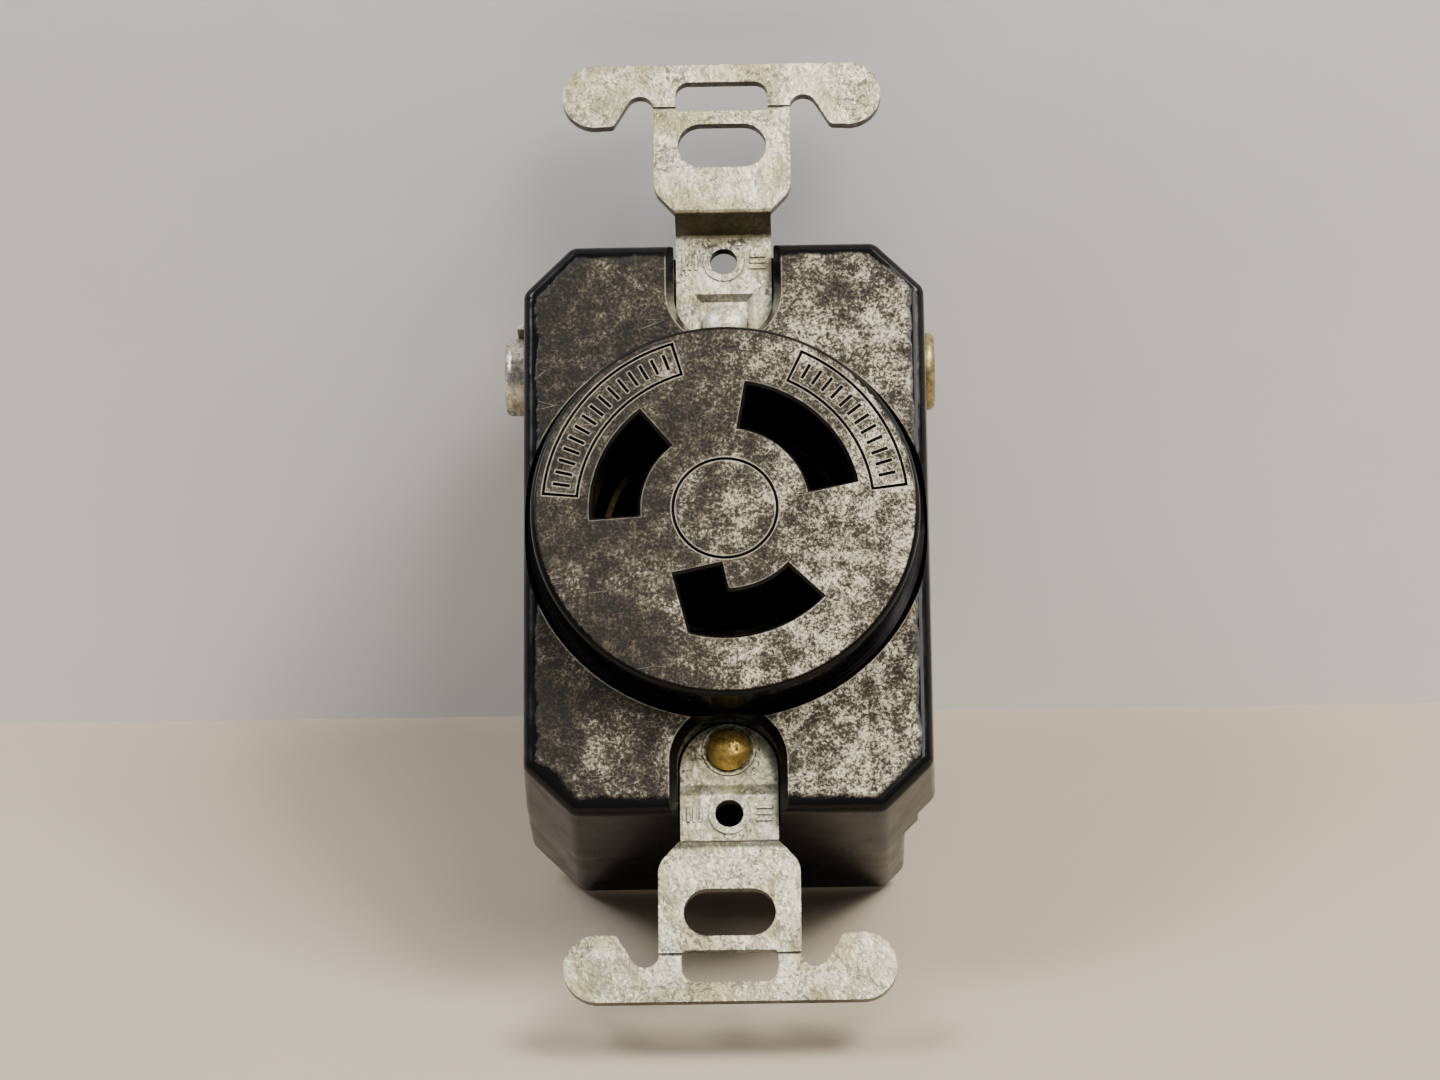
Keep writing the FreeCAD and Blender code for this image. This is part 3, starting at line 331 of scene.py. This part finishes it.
class Scratches(NodeGroup):
    """Fine scratches in two directions."""

    name = "scratches"
    inputs = (("Vector", "NodeSocketVector", 0.0), ("Amount", "NodeSocketFloat", 0.5))
    outputs = (("Mask", "NodeSocketFloat"),)

    def write(self, graph: Graph, given: Dict[str, Socket], out: bpy.types.Node) -> None:
        """Write the scratches from stretched cells.

        Args:
            graph: The group's tree.
            given: The group's inputs by name.
            out: The group's output node.
        """
        found = []
        for turn, scale in ((0.5, (150, 150, 700)), (-1.2, (120, 120, 600))):
            place = graph.stretched(given["Vector"], scale, (0.1, turn, 0.05))
            cells = graph.add("ShaderNodeTexVoronoi", feature="DISTANCE_TO_EDGE")
            graph.feed(cells.inputs["Vector"], place)
            graph.feed(cells.inputs["Scale"], 1.0)
            line = graph.ramp(cells.outputs["Distance"], 0.0, 0.018, 1.0, 0.0)
            some = graph.ramp(graph.noise(given["Vector"], 170.0 + 40 * turn, 3.0), 0.58, 0.68)
            found.append(graph.math("MULTIPLY", line, some))
        both = graph.math("MAXIMUM", *found)
        graph.feed(out.inputs["Mask"], graph.math("MULTIPLY", both, given["Amount"], clamp=True))


# ---- finishes ------------------------------------------------------------------------------------------


@dataclass(frozen=True)
class Finish:
    """A finish that makes one material from a Principled shader."""

    name: str

    def shade(self, graph: Graph, shader: bpy.types.Node) -> None:
        """Write the finish's nodes into the material.

        Args:
            graph: The material's tree.
            shader: Its Principled shader.
        """
        raise NotImplementedError

    def material(self) -> bpy.types.Material:
        """Make the material, or find it if it is made already.

        Returns:
            The material.
        """
        made = bpy.data.materials.get(self.name)
        if made:
            return made
        made = bpy.data.materials.new(self.name)
        made.use_nodes = True
        made.node_tree.nodes.clear()
        graph = Graph(made.node_tree)
        shader = graph.add("ShaderNodeBsdfPrincipled")
        target = graph.add("ShaderNodeOutputMaterial")
        graph.feed(target.inputs["Surface"], shader.outputs[0])
        self.shade(graph, shader)
        return made

    def bump(self, graph: Graph, shader: bpy.types.Node, height: Socket, strength: float,
             distance: float) -> None:
        """Raise the surface by a height.

        Args:
            graph: The material's tree.
            shader: Its Principled shader.
            height: The height from 0 to 1.
            strength: How strong the bump is.
            distance: What a height of 1 is, in metres.
        """
        node = graph.add("ShaderNodeBump")
        node.inputs["Strength"].default_value = strength
        node.inputs["Distance"].default_value = distance
        graph.feed(node.inputs["Height"], height)
        graph.feed(shader.inputs["Normal"], node.outputs[0])


@dataclass(frozen=True)
class WornMoulding(Finish):
    """Black thermoset: glossy where it is sheltered, rubbed and grimy on its flat front faces, which also
    carry painted glints and sheen, most at the lower right, and painted shade in their grooves.
    """

    gloss: Colour = (0.004, 0.004, 0.0045)
    pit: Colour = (0.007, 0.006, 0.005)
    dull: Colour = (0.03, 0.024, 0.017)
    grime: Colour = (0.1, 0.08, 0.052)
    # bright cream flecks: filler laid bare by wear, and painted glints of the lamps
    fleck: Colour = (0.82, 0.75, 0.56)
    border: float = 1.8 * MM
    border_wander: float = 1.4 * MM
    corner_cut: float = 5.3 * MM
    shoulder_fade: Tuple[float, float] = (-0.3 * MM, 0.1 * MM)
    groove_fade: Tuple[float, float] = (0.05 * MM, 0.14 * MM)
    disc_band: float = 1.0 * MM
    # a slope towards the lower right that lays wear and a painted sheen
    wear_tilt: float = -0.22
    wear_span: Tuple[float, float] = (-26 * MM, 24 * MM)
    wear_across: float = 0.88
    wear_patches: Tuple[float, float] = (-0.3, 0.34)
    wear_raised: float = 0.06
    wear_least: float = 0.06
    raised_fade: Tuple[float, float] = (-5 * MM, -1 * MM)
    grain_fineness: float = 3000.0
    coarse_fineness: float = 620.0
    relief: float = 0.2 * MM
    specular: float = 0.18

    def inset(self, graph: Graph, spot: bpy.types.Node) -> Socket:
        """How far a place lies inside the housing's outline, seen from the front.

        Args:
            graph: The material's tree.
            spot: The place, split into X, Y and Z.

        Returns:
            The distance in metres.
        """
        low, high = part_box("front_cover")
        half_x, half_z = (high.x - low.x) / 2, (high.z - low.z) / 2
        across = graph.math("ABSOLUTE", spot.outputs["X"])
        along = graph.math("ABSOLUTE", spot.outputs["Z"])
        corner = graph.math("ADD", across, along)
        past_corner = graph.math("SUBTRACT", half_x + half_z - self.corner_cut, corner)
        cut = graph.math("MULTIPLY", past_corner, 0.707)
        past_side = graph.math("SUBTRACT", half_x, across)
        sides = graph.math("MINIMUM", past_side, graph.math("SUBTRACT", half_z, along))
        return graph.math("MINIMUM", sides, cut)

    def front_mask(self, graph: Graph, place: Socket) -> Socket:
        """Find the rubbed faces: flat, looking forward and clear of the housing's glossy border.

        Args:
            graph: The material's tree.
            place: The place on the object.

        Returns:
            1 on those faces, 0 elsewhere.
        """
        normal = graph.add("ShaderNodeSeparateXYZ")
        graph.feed(normal.inputs[0], graph.add("ShaderNodeTexCoord").outputs["Normal"])
        facing = graph.ramp(graph.math("MULTIPLY", normal.outputs["Y"], -1.0), 0.93, 0.995)
        spot = graph.add("ShaderNodeSeparateXYZ")
        graph.feed(spot.inputs[0], place)
        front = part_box("front_cover")[0].y
        shoulders = graph.ramp(spot.outputs["Y"], *self.shoulder_fade, 1.0, 0.0)
        groove_start, groove_end = (front + depth for depth in self.groove_fade)
        grooves = graph.ramp(spot.outputs["Y"], groove_start, groove_end, 1.0, 0.0)
        disc = graph.math("LESS_THAN", spot.outputs["Y"], front + self.disc_band)
        drift = graph.math("SUBTRACT", graph.noise(place, 320.0, 3.0), 0.5)
        wander = graph.math("MULTIPLY", drift, self.border_wander)
        inset = graph.math("ADD", self.inset(graph, spot), wander)
        clear = graph.ramp(inset, self.border - 0.2 * MM, self.border + 0.5 * MM)
        level = graph.blend(disc, graph.math("MULTIPLY", shoulders, clear), grooves)
        return graph.math("MULTIPLY", facing, level)

    def wear_zone(self, graph: Graph, place: Socket) -> Socket:
        """How far the faces are rubbed and carry painted sheen: most at the lower right, least at the upper
        left, in patches.

        Args:
            graph: The material's tree.
            place: The place on the object.

        Returns:
            The wear and painted sheen from 0 to 1.
        """
        spot = graph.add("ShaderNodeSeparateXYZ")
        graph.feed(spot.inputs[0], place)
        slope = graph.math("MULTIPLY_ADD", spot.outputs["Z"], self.wear_tilt, spot.outputs["X"])
        across = graph.ramp(slope, *self.wear_span)
        patch = graph.ramp(graph.noise(place, 130.0, 4.0, 0.6, 0.5), 0.3, 0.7, *self.wear_patches)
        raised = graph.ramp(spot.outputs["Y"], *self.raised_fade, self.wear_raised, 0.0)
        spread = graph.math("MULTIPLY", across, self.wear_across)
        total = graph.math("ADD", spread, graph.math("ADD", patch, raised))
        return graph.math("ADD", total, self.wear_least, clamp=True)

    def shade(self, graph: Graph, shader: bpy.types.Node) -> None:
        """Write gloss, grime, flecks with painted glints, painted sheen, pits, scratches, edges lightened by
        wear and painted highlights, and grooves darkened by grime and painted shade.

        Args:
            graph: The material's tree.
            shader: Its Principled shader.
        """
        place = graph.place()
        front = self.front_mask(graph, place)
        wear_and_sheen = self.wear_zone(graph, place)
        grain = graph.noise(place, self.grain_fineness, 6.0, 0.78, 0.35)
        coarse = graph.noise(place, self.coarse_fineness, 4.0, 0.6, 0.4)
        # grain lifted lighter towards the lower right: wear, and painted sheen
        shift = graph.math("MULTIPLY_ADD", wear_and_sheen, 0.17, -0.1)
        uneven = graph.math("MULTIPLY_ADD", graph.math("SUBTRACT", coarse, 0.5), 0.45, shift)
        level = graph.math("ADD", grain, uneven)
        flecks = graph.ramp(level, 0.52, 0.68)
        pits = graph.ramp(level, 0.36, 0.48, 1.0, 0.0)
        scratch = Scratches().put(graph, Vector=place, Amount=0.8)
        edge = EdgeWearAndPaintedLight().put(graph, Vector=place, Width=0.28 * MM, Break_Up=0.6)
        dirt = CreviceDirtAndShade().put(graph, Vector=place, Reach=0.7 * MM, Amount=0.9)
        body = graph.mix(graph.ramp(level, 0.42, 0.6), self.dull, self.grime)
        # flecks shown most at the lower right: wear, and painted glints where the lamps reflect
        wear_and_glint_shown = graph.math("MULTIPLY", flecks, graph.ramp(wear_and_sheen, 0.1, 1.0, 0.14, 0.95))
        front_colour = graph.mix(wear_and_glint_shown, body, self.fleck)
        front_colour = graph.mix(graph.math("MULTIPLY", pits, 0.85), front_colour, self.pit)
        # scratches and edges lightened: scratch wear, and edges with wear and painted highlights
        marks = graph.math("MAXIMUM", graph.math("MULTIPLY", scratch.outputs["Mask"], 0.3),
                           graph.math("MULTIPLY", edge.outputs["Mask"], 0.8))
        front_colour = graph.mix(marks, front_colour, self.fleck)
        # darkened where surfaces close in: grime, and painted shade in the grooves and recesses
        front_colour = graph.mix(dirt.outputs["Mask"], front_colour, self.pit)
        rubbed = graph.mix(graph.math("MULTIPLY", edge.outputs["Mask"], 0.16), self.gloss, self.grime)
        graph.feed(shader.inputs["Base Color"], graph.mix(front, rubbed, front_colour))
        smudge = graph.ramp(graph.noise(place, 260.0, 4.0, 0.6), 0.35, 0.7, 0.12, 0.28)
        rough = graph.blend(flecks, graph.ramp(coarse, 0.3, 0.7, 0.46, 0.62), 0.3)
        graph.feed(shader.inputs["Roughness"], graph.blend(front, smudge, rough))
        swell = graph.noise(place, 380.0, 3.0, 0.5)
        worn_height = graph.math("MULTIPLY_ADD", swell, 1.4, grain)
        plain_height = graph.math("MULTIPLY", graph.noise(place, 420.0, 2.0, 0.4), 0.2)
        self.bump(graph, shader, graph.blend(front, plain_height, worn_height), 0.75, self.relief)
        shader.inputs["Specular IOR Level"].default_value = self.specular


@dataclass(frozen=True)
class Plating(Finish):
    """Plated metal with a fine grain, tarnish in patches, dark spots, and crevices and edges darkened by
    grime and painted shade.
    """

    colour: Colour = (0.95, 0.92, 0.74)
    tint: Colour = (0.52, 0.45, 0.21)
    # dark colour for real spots and stains, and for painted shade on edges, crevices and the bend
    stain: Colour = (0.05, 0.04, 0.025)
    rough: float = 0.32
    metal: float = 0.82
    fineness: float = 2400.0
    tarnish: float = 0.8
    spots: float = 0.5
    relief: float = 0.11 * MM
    dirt: float = 0.85
    dirt_reach: float = 1.6 * MM
    edge_width: float = 0.2 * MM
    dulling: Colour = (0.42, 0.4, 0.3)

    def bends(self, graph: Graph, place: Socket) -> object:
        """Where shade is painted on the sheet; plain plated pieces get none.

        Args:
            graph: The material's tree.
            place: The place on the object.

        Returns:
            1 where shade is painted, 0 elsewhere.
        """
        return 0.0

    def shade(self, graph: Graph, shader: bpy.types.Node) -> None:
        """Write the plating, its tarnish, spots, scratches, and its crevices and edges darkened by grime and
        painted shade.

        Args:
            graph: The material's tree.
            shader: Its Principled shader.
        """
        place = graph.place()
        patch = graph.noise(place, 170.0, 4.0, 0.6, 0.6)
        flecks = Speckle().put(graph, Vector=place, Fineness=self.fineness, Amount=0.82,
                               Patchiness=0.6)
        spots = Speckle().put(graph, Vector=place, Fineness=self.fineness * 0.7, Amount=self.spots,
                              Patchiness=0.9)
        scratch = Scratches().put(graph, Vector=place, Amount=0.7)
        edge = EdgeWearAndPaintedLight().put(graph, Vector=place, Width=self.edge_width, Break_Up=0.5)
        dirt = CreviceDirtAndShade().put(graph, Vector=place, Reach=self.dirt_reach, Amount=self.dirt)
        tarnished = graph.math("MULTIPLY", graph.ramp(patch, 0.38, 0.64), self.tarnish)
        tinted = graph.mix(tarnished, self.colour, self.tint)
        dulled = tuple(part * share for part, share in zip(self.colour, self.dulling))
        grained = graph.mix(graph.math("MULTIPLY", flecks.outputs["Mask"], 0.85), tinted, dulled)
        marked = graph.mix(graph.math("MULTIPLY", spots.outputs["Mask"], 0.7), grained, self.stain)
        lined = graph.mix(graph.math("MULTIPLY", scratch.outputs["Mask"], 0.35), marked, dulled)
        # edges darkened: grime, and painted shade on the sheet's edges
        edged = graph.mix(graph.math("MULTIPLY", edge.outputs["Mask"], 0.4), lined, self.stain)
        # painted shade darkens the places the mask marks
        with_painted_shade = graph.mix(self.bends(graph, place), edged, self.stain)
        # crevices darkened: grime, and painted shade where surfaces close in
        graph.feed(shader.inputs["Base Color"], graph.mix(dirt.outputs["Mask"], with_painted_shade, self.stain))
        marks = graph.math("MAXIMUM", spots.outputs["Mask"], dirt.outputs["Mask"])
        graph.feed(shader.inputs["Metallic"], graph.blend(marks, self.metal, self.metal * 0.4))
        smooth, coarse = self.rough - 0.08, self.rough + 0.14
        varied = graph.ramp(graph.noise(place, 700.0, 5.0, 0.7), 0.3, 0.7, smooth, coarse)
        graph.feed(shader.inputs["Roughness"], graph.blend(marks, varied, 0.65))
        fine = graph.noise(place, self.fineness * 0.6, 4.0, 0.7)
        swell = graph.math("MULTIPLY_ADD", graph.noise(place, self.fineness * 0.13, 3.0, 0.6), 2.2, fine)
        height = graph.math("SUBTRACT", swell, graph.math("MULTIPLY", spots.outputs["Mask"], 0.4))
        self.bump(graph, shader, height, 0.7, self.relief)


@dataclass(frozen=True)
class StrapPlating(Plating):
    """Plated sheet with painted shade on its sheared edges and in a strip along its step bend."""

    band: float = 0.7 * MM
    band_past_housing: float = 3.1 * MM

    def bends(self, graph: Graph, place: Socket) -> object:
        """Find the sheared edges and the strip just outside the step bend, where shade is painted.

        Args:
            graph: The material's tree.
            place: The place on the object.

        Returns:
            1 where shade is painted, 0 elsewhere.
        """
        outer = -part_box("front_cover")[0].z + self.band_past_housing
        spot = graph.add("ShaderNodeSeparateXYZ")
        graph.feed(spot.inputs[0], place)
        normal = graph.add("ShaderNodeSeparateXYZ")
        graph.feed(normal.inputs[0], graph.add("ShaderNodeTexCoord").outputs["Normal"])
        # painted shade on the sheet's sheared edges
        sheared = graph.ramp(graph.math("ABSOLUTE", normal.outputs["Y"]), 0.2, 0.75, 0.85, 0.0)
        # painted shade in a strip just outside the lower strap's step bend
        wander = graph.math("MULTIPLY_ADD", graph.noise(place, 900.0, 4.0, 0.7), 0.5 * MM, -0.25 * MM)
        along = graph.math("SUBTRACT", wander, spot.outputs["Z"])
        off = graph.math("ABSOLUTE", graph.math("SUBTRACT", along, outer))
        return graph.math("MAXIMUM", sheared, graph.ramp(off, self.band * 0.45, self.band, 0.8, 0.0))


@dataclass(frozen=True)
class StageSurface(Finish):
    """A plain pale surface, seen from its front only."""

    colour: Colour

    def shade(self, graph: Graph, shader: bpy.types.Node) -> None:
        """Write a faint mottle, and let rays through from behind.

        Args:
            graph: The material's tree.
            shader: Its Principled shader.
        """
        mottle = graph.ramp(graph.noise(graph.place(), 18.0, 4.0, 0.6), 0.3, 0.7)
        deeper = tuple(part * 0.96 for part in self.colour)
        graph.feed(shader.inputs["Base Color"], graph.mix(mottle, deeper, self.colour))
        shader.inputs["Roughness"].default_value = 0.85
        clear = graph.add("ShaderNodeBsdfTransparent")
        chosen = graph.add("ShaderNodeMixShader")
        graph.feed(chosen.inputs[0], graph.add("ShaderNodeNewGeometry").outputs["Backfacing"])
        graph.feed(chosen.inputs[1], shader.outputs[0])
        graph.feed(chosen.inputs[2], clear.outputs[0])
        target = next(node for node in graph.tree.nodes if node.type == "OUTPUT_MATERIAL")
        graph.feed(target.inputs["Surface"], chosen.outputs[0])


class Finishes(Enum):
    """The receptacle's finishes, one for each material slot of the record."""

    BLACK_MOULDING = WornMoulding("worn_black_moulding")
    ZINC_PLATE = StrapPlating("tarnished_zinc")
    SILVER_RIVET = Plating("dull_silver", colour=(0.74, 0.72, 0.63), tint=(0.55, 0.52, 0.4), rough=0.5,
                           spots=0.45, relief=0.12 * MM)
    BRASS_RIVET = Plating("speckled_brass", colour=(0.92, 0.64, 0.16), tint=(0.4, 0.25, 0.05), rough=0.36,
                          metal=0.8, spots=0.68, tarnish=0.9, relief=0.16 * MM, fineness=1900.0)
    CONTACT_BRASS = Plating("dark_spring_brass", colour=(0.11, 0.07, 0.025), tint=(0.05, 0.03, 0.012),
                            rough=0.5)
    TERMINAL_BRASS = Plating("tarnished_brass", colour=(0.5, 0.4, 0.19), tint=(0.3, 0.25, 0.12), rough=0.36)
    TERMINAL_NICKEL = Plating("dull_nickel", colour=(0.74, 0.72, 0.67), tint=(0.5, 0.42, 0.3), rough=0.26,
                              spots=0.2)
    GROUND_GREEN = Plating("green_dye", colour=(0.05, 0.24, 0.1), tint=(0.03, 0.14, 0.06),
                           stain=(0.02, 0.05, 0.03), rough=0.36, metal=0.75)
    BOND_STEEL = Plating("dull_steel", colour=(0.6, 0.59, 0.54), tint=(0.5, 0.46, 0.36), rough=0.38)


# ---- sub-assemblies ------------------------------------------------------------------------------------


class Receptacle:
    """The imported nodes, dressed in the finishes that their slots name."""

    def dress(self) -> None:
        """Give each node the material of its slot."""
        for part in frame["record"]["subparts"]:
            node = frame["nodes"][part["node"]]
            finish = Finishes[part["material_slot"].upper()].value
            node.data.materials.clear()
            node.data.materials.append(finish.material())
            log.info("dressed %s in %s", node.name, finish.name)


# ---- stage, light and camera ---------------------------------------------------------------------------


@dataclass
class Stage:
    """A pale table and wall that the receptacle leans on, written in the part's own frame."""

    lean: float = math.radians(43.0)
    reach: float = 1.6

    def up(self) -> Vector:
        """The table's normal in the part's frame."""
        return Vector((0.0, -math.sin(self.lean), math.cos(self.lean)))

    def away(self) -> Vector:
        """The level direction from the viewer to the wall, in the part's frame."""
        return Vector((0.0, math.cos(self.lean), math.sin(self.lean)))

    def plane(self, name: str, origin: Vector, along: Vector, finish: Finish) -> bpy.types.Object:
        """A rectangle that starts at the joint of table and wall.

        Args:
            name: The object's name.
            origin: The middle of its edge on the joint.
            along: The direction it runs in from there.
            finish: Its finish.

        Returns:
            The new object.
        """
        side = Vector((1.0, 0.0, 0.0)) * self.reach
        far = along * self.reach
        corners = [origin - side, origin + side, origin + side + far, origin - side + far]
        mesh = bpy.data.meshes.new(name)
        mesh.from_pydata([tuple(c) for c in corners], [], [(0, 1, 2, 3)])
        mesh.materials.append(finish.material())
        made = bpy.data.objects.new(name, mesh)
        bpy.context.scene.collection.objects.link(made)
        made.visible_shadow = False
        return made

    def build(self) -> None:
        """Make the table and the wall so that they touch the back edges of the rear body."""
        low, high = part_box("rear_body")
        table_level = min(self.up().dot(Vector((0, high.y, z))) for z in (low.z, high.z))
        wall_level = max(self.away().dot(Vector((0, high.y, z))) for z in (low.z, high.z))
        joint = self.up() * table_level + self.away() * wall_level
        table = self.plane("table", joint, -self.away(), StageSurface("pale_table", (0.44, 0.37, 0.28)))
        table.data.flip_normals()
        self.plane("wall", joint, self.up(), StageSurface("pale_wall", (0.9, 0.91, 0.92)))
        log.info("stage built")


@dataclass
class Lamp:
    """A soft square lamp aimed at the receptacle."""

    name: str
    direction: Tuple[float, float, float]
    power: float
    colour: Colour
    size: float = 0.35
    distance: float = 0.9

    def build(self) -> None:
        """Make the lamp."""
        data = bpy.data.lights.new(self.name, "AREA")
        data.energy = self.power
        data.size = self.size
        data.color = self.colour
        lamp = bpy.data.objects.new(self.name, data)
        towards = Vector(self.direction).normalized()
        lamp.location = towards * self.distance
        lamp.rotation_mode = "QUATERNION"
        lamp.rotation_quaternion = towards.to_track_quat("Z", "Y")
        bpy.context.scene.collection.objects.link(lamp)
        log.info("lamp %s built", self.name)


@dataclass
class Camera:
    """A long lens below the face's normal, as the leaning receptacle is seen."""

    target: Tuple[float, float, float] = (-0.677 * MM, 3.05 * MM, -0.678 * MM)
    distance: float = 608.84 * MM
    below: float = math.radians(18.5)
    aside: float = math.radians(0.887)
    roll: float = math.radians(-0.570)
    lens: float = 146.8

    def build(self) -> None:
        """Make the camera and set it as the scene's."""
        level = math.cos(self.below)
        back = Vector((math.sin(self.aside) * level, -math.cos(self.aside) * level, -math.sin(self.below)))
        right = (-back).cross(Vector((0, 0, 1))).normalized()
        up = right.cross(-back)
        across = right * math.cos(self.roll) + up * math.sin(self.roll)
        upward = up * math.cos(self.roll) - right * math.sin(self.roll)
        data = bpy.data.cameras.new("camera")
        data.lens = self.lens
        data.clip_start = 0.01
        camera = bpy.data.objects.new("camera", data)
        turn = Matrix((across, upward, back)).transposed()
        camera.matrix_world = Matrix.Translation(Vector(self.target) + back * self.distance) @ turn.to_4x4()
        bpy.context.scene.collection.objects.link(camera)
        bpy.context.scene.camera = camera
        log.info("camera built")


def light_world(strength: float) -> None:
    """Fill the scene with a plain soft glow.

    Args:
        strength: How bright the glow is.
    """
    world = bpy.data.worlds.new("studio")
    world.use_nodes = True
    background = world.node_tree.nodes["Background"]
    background.inputs["Color"].default_value = (0.9, 0.93, 1.0, 1.0)
    background.inputs["Strength"].default_value = strength
    bpy.context.scene.world = world


def main() -> None:
    """Build the camera, the stage, the lamps and the receptacle, in that order."""
    logging.basicConfig(level=logging.INFO, format="%(message)s")
    Camera().build()
    Stage().build()
    Lamp("ceiling_right", (0.55, -0.62, 0.55), 10.0, (1.0, 0.96, 0.89)).build()
    Lamp("ceiling_left", (-0.6, -0.6, 0.55), 6.0, (0.95, 0.97, 1.0)).build()
    Lamp("front_soft", (0.35, -0.88, 0.3), 3.5, (1.0, 0.97, 0.92)).build()
    light_world(strength=0.18)
    Receptacle().dress()


if __name__ == "__main__":
    main()
